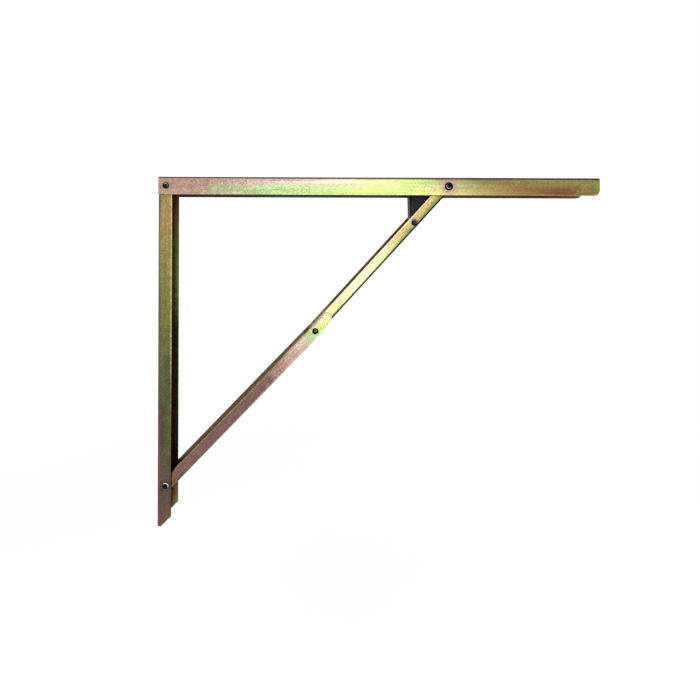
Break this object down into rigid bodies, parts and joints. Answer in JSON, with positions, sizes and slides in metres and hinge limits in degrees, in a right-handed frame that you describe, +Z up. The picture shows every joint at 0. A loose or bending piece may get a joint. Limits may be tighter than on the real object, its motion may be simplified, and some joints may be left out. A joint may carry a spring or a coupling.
{
  "type": "folding bracket",
  "caption": "Folding shelf bracket: wall channel, arm and two-link knee brace in folded sheet steel, with a lever that releases the knee.",
  "frame": {"origin": "on the wall face, midway between the two wall screws", "axes": "+X away from the wall along the arm, +Y across the bracket, +Z up"},
  "size_m": [0.4005, 0.0324, 0.318],
  "materials": {
    "zinc_plated_steel": "yellow passivated zinc on pressed sheet steel",
    "rivet_steel": "dark rivet steel",
    "black_steel": "black coated steel, satin",
    "spring_wire": "spring wire"
  },
  "bodies": {
    "wall": {"wall_channel": "zinc_plated_steel", "wall_rivet": "rivet_steel", "corner_pin": "rivet_steel"},
    "lower_brace": {"lower_link": "zinc_plated_steel", "knee_rivet": "rivet_steel"},
    "upper_brace": {"upper_link": "zinc_plated_steel", "lever_rivet": "rivet_steel"},
    "arm": {"arm_channel": "zinc_plated_steel", "arm_rivet": "rivet_steel", "arm_bushes": "rivet_steel", "corner_heads": "rivet_steel"},
    "lever": {"release_lever": "black_steel", "lever_spring": "spring_wire"}
  },
  "joints": [
    {"name": "brace_fold", "type": "hinge", "parent": "wall", "child": "lower_brace", "pos_m": [0.0073, 0, -0.114], "axis": [0, -1, 0], "range_deg": [0, 43.52]},
    {"name": "knee", "type": "hinge", "parent": "lower_brace", "child": "upper_brace", "pos_m": [0.14336, 0, 0.02708], "axis": [0, 1, 0], "range_deg": [0, 178.57]},
    {"name": "arm_fold", "type": "hinge", "parent": "upper_brace", "child": "arm", "pos_m": [0.2638, 0, 0.1595], "axis": [0, -1, 0], "range_deg": [0, 47.25]},
    {"name": "lever_turn", "type": "hinge", "parent": "upper_brace", "child": "lever", "pos_m": [0.23419, 0, 0.12695], "axis": [0, 1, 0], "range_deg": [0, 44.3]}
  ],
  "couplings": [
    {"joint": "knee", "follows": "brace_fold", "ratio": 4.1026},
    {"joint": "arm_fold", "follows": "brace_fold", "ratio": 1.0854},
    {"joint": "lever_turn", "follows": "brace_fold", "ratio": 1.0175}
  ]
}
